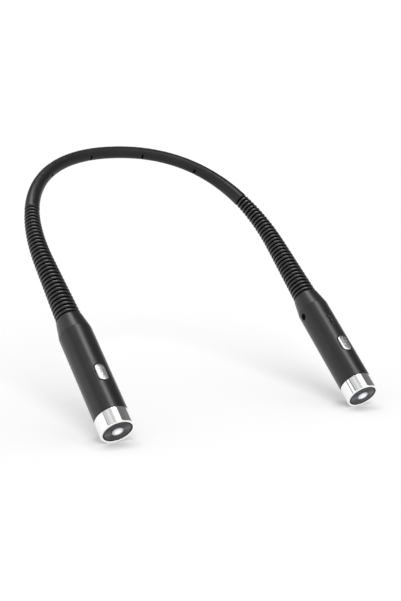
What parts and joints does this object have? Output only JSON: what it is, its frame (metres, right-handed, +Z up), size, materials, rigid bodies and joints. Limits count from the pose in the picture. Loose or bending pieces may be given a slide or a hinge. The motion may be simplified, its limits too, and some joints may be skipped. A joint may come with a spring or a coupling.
{
  "type": "neck reading light",
  "caption": "Hands-free reading light worn round the neck: rubber neckband, ribbed bending arms and lamp heads with buttons.",
  "frame": {"origin": "the middle of the neckband, on its centreline, where it rests on the back of the neck", "axes": "+X across the light, towards the head with the charging socket; -Y forward to the lamp heads; +Z up. The U leans forward and down by 40 degrees, as it is worn"},
  "size_m": [0.185, 0.1789, 0.153],
  "materials": {
    "sleeve_rubber": "satin moulded rubber",
    "casing": "dark grey satin plastic",
    "bezel_chrome": "polished plating",
    "button_chrome": "polished plating",
    "face_gloss": "dark glossy disc",
    "lens_clear": "clear moulded lens",
    "reflector_bright": "bright plated cup",
    "core_steel": "wound steel tube",
    "small_steel": "dark steel",
    "socket_steel": "pressed steel",
    "board": "green board",
    "lamp_board": "white coated aluminium",
    "chip": "emitter under yellow resin",
    "cell_wrap": "plain shrink wrap",
    "switch_plastic": "black moulded plastic",
    "cable_jacket": "black cable jacket",
    "indicator": "clear light pipe"
  },
  "bodies": {
    "neckband": {"neckband_sleeve": "sleeve_rubber", "neckband_core": "core_steel", "link_cable": "cable_jacket"},
    "left_band": {"left_band_sleeve": "sleeve_rubber", "left_band_core": "core_steel"},
    "left_arm_1": {"left_arm_sleeve_1": "sleeve_rubber", "left_arm_core_1": "core_steel"},
    "left_arm_2": {"left_arm_sleeve_2": "sleeve_rubber", "left_arm_core_2": "core_steel"},
    "left_arm_3": {"left_arm_sleeve_3": "sleeve_rubber", "left_arm_core_3": "core_steel"},
    "left_arm_4": {"left_arm_sleeve_4": "sleeve_rubber", "left_arm_core_4": "core_steel"},
    "left_head": {"left_arm_sleeve_5": "sleeve_rubber", "left_arm_core_5": "core_steel", "left_barrel": "casing", "left_bezel": "bezel_chrome", "left_cell": "cell_wrap", "left_collar": "casing", "left_control_board": "board", "left_face_plate": "face_gloss", "left_ferrule": "small_steel", "left_housing_screw": "small_steel", "left_lamp_board": "lamp_board", "left_lamp_chip": "chip", "left_lens": "lens_clear", "left_reflector": "reflector_bright", "left_switch_body": "switch_plastic"},
    "left_button_cap": {"left_button": "button_chrome", "left_switch_stem": "switch_plastic"},
    "right_band": {"right_band_sleeve": "sleeve_rubber", "right_band_core": "core_steel"},
    "right_arm_1": {"right_arm_sleeve_1": "sleeve_rubber", "right_arm_core_1": "core_steel"},
    "right_arm_2": {"right_arm_sleeve_2": "sleeve_rubber", "right_arm_core_2": "core_steel"},
    "right_arm_3": {"right_arm_sleeve_3": "sleeve_rubber", "right_arm_core_3": "core_steel"},
    "right_arm_4": {"right_arm_sleeve_4": "sleeve_rubber", "right_arm_core_4": "core_steel"},
    "right_head": {"right_arm_sleeve_5": "sleeve_rubber", "right_arm_core_5": "core_steel", "right_barrel": "casing", "right_bezel": "bezel_chrome", "right_cell": "cell_wrap", "right_charging_socket": "socket_steel", "right_collar": "casing", "right_control_board": "board", "right_face_plate": "face_gloss", "right_ferrule": "small_steel", "right_housing_screw": "small_steel", "right_indicator_pipe": "indicator", "right_lamp_board": "lamp_board", "right_lamp_chip": "chip", "right_lens": "lens_clear", "right_reflector": "reflector_bright", "right_switch_body": "switch_plastic"},
    "right_button_cap": {"right_button": "button_chrome", "right_switch_stem": "switch_plastic"}
  },
  "joints": [
    {"name": "left_band_flex", "type": "hinge", "parent": "neckband", "child": "left_band", "pos_m": [-0.05482, -0.014, -0.01175], "axis": [0, 0.6428, -0.766], "range_deg": [-4, 12], "stiffness_Nm_per_rad": 2.5, "deforming": ["link_cable"]},
    {"name": "left_arm_pitch_1", "type": "hinge", "parent": "left_band", "child": "left_arm_1", "pos_m": [-0.07961, -0.04938, -0.04143], "axis": [-0.9793, 0.155, 0.13], "range_deg": [-15, 15]},
    {"name": "left_arm_yaw_1", "type": "hinge", "parent": "left_arm_1", "child": "left_arm_2", "pos_m": [-0.08171, -0.06009, -0.05042], "axis": [0, 0.6428, -0.766], "range_deg": [-10, 15]},
    {"name": "left_arm_pitch_2", "type": "hinge", "parent": "left_arm_2", "child": "left_arm_3", "pos_m": [-0.0825, -0.07308, -0.06132], "axis": [-1, 0, 0], "range_deg": [-15, 15]},
    {"name": "left_arm_yaw_2", "type": "hinge", "parent": "left_arm_3", "child": "left_arm_4", "pos_m": [-0.0825, -0.08392, -0.07042], "axis": [0, 0.6428, -0.766], "range_deg": [-10, 15]},
    {"name": "left_arm_pitch_3", "type": "hinge", "parent": "left_arm_4", "child": "left_head", "pos_m": [-0.0825, -0.09476, -0.07951], "axis": [-1, 0, 0], "range_deg": [-15, 15]},
    {"name": "left_button_press", "type": "slide", "parent": "left_head", "child": "left_button_cap", "axis": [0, 0.6428, -0.766], "range_m": [0, 0.0006], "stiffness_N_per_m": 1500},
    {"name": "right_band_flex", "type": "hinge", "parent": "neckband", "child": "right_band", "pos_m": [0.05482, -0.014, -0.01175], "axis": [0, -0.6428, 0.766], "range_deg": [-4, 12], "stiffness_Nm_per_rad": 2.5},
    {"name": "right_arm_pitch_1", "type": "hinge", "parent": "right_band", "child": "right_arm_1", "pos_m": [0.07961, -0.04938, -0.04143], "axis": [-0.9793, -0.155, -0.13], "range_deg": [-15, 15]},
    {"name": "right_arm_yaw_1", "type": "hinge", "parent": "right_arm_1", "child": "right_arm_2", "pos_m": [0.08171, -0.06009, -0.05042], "axis": [0, -0.6428, 0.766], "range_deg": [-10, 15]},
    {"name": "right_arm_pitch_2", "type": "hinge", "parent": "right_arm_2", "child": "right_arm_3", "pos_m": [0.0825, -0.07308, -0.06132], "axis": [-1, 0, 0], "range_deg": [-15, 15]},
    {"name": "right_arm_yaw_2", "type": "hinge", "parent": "right_arm_3", "child": "right_arm_4", "pos_m": [0.0825, -0.08392, -0.07042], "axis": [0, -0.6428, 0.766], "range_deg": [-10, 15]},
    {"name": "right_arm_pitch_3", "type": "hinge", "parent": "right_arm_4", "child": "right_head", "pos_m": [0.0825, -0.09476, -0.07951], "axis": [-1, 0, 0], "range_deg": [-15, 15]},
    {"name": "right_button_press", "type": "slide", "parent": "right_head", "child": "right_button_cap", "axis": [0, 0.6428, -0.766], "range_m": [0, 0.0006], "stiffness_N_per_m": 1500}
  ]
}
